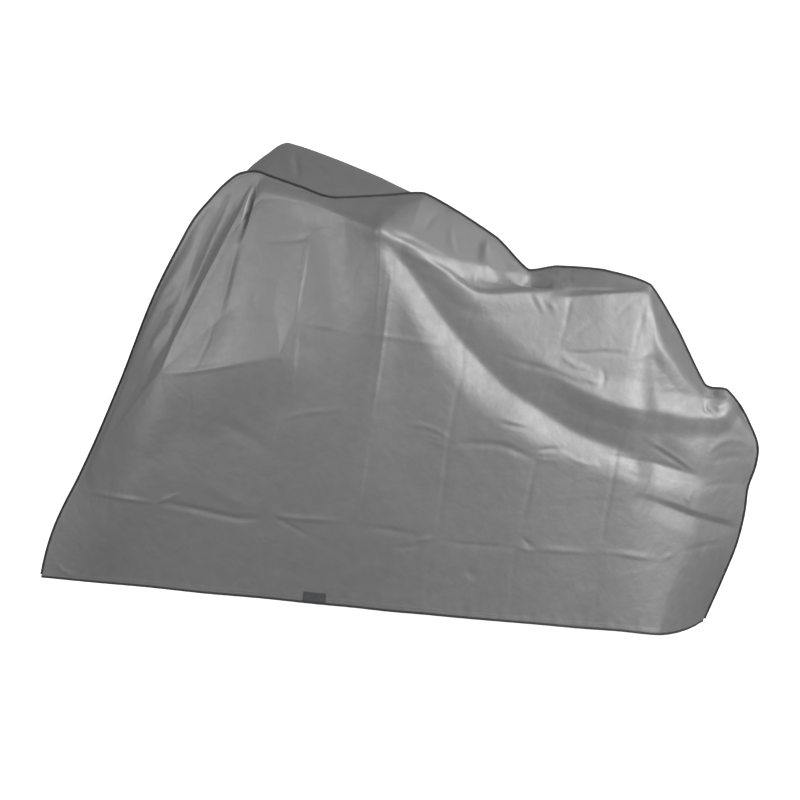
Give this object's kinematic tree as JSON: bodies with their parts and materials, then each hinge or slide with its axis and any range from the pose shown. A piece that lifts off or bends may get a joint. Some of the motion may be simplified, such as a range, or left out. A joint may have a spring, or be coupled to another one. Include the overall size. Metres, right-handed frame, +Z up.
{
  "type": "bicycle cover",
  "caption": "Full-length bicycle cover of thin silver-grey sheeting: side panels joined by a bound centre seam, with a bound hem, open below, shown draped.",
  "frame": {"origin": "the point just under the roof, between the raised front peaks, that rests on what the cover is drawn over", "axes": "+Z up, +X along the cover's length towards its low rear end, +Y to its right side as seen from the front looking rearwards"},
  "size_m": [1.8608, 0.472, 1.2101],
  "materials": {
    "silver_grey_sheeting": "metallic silver-grey coated sheeting with a satin sheen and packing creases",
    "dark_grey_tape": "matte",
    "charcoal_woven": "matte woven"
  },
  "bodies": {
    "root": {"panel_left": "silver_grey_sheeting", "panel_right": "silver_grey_sheeting", "seam_binding": "dark_grey_tape", "hem_binding": "dark_grey_tape", "hem_tab": "charcoal_woven"}
  },
  "joints": []
}
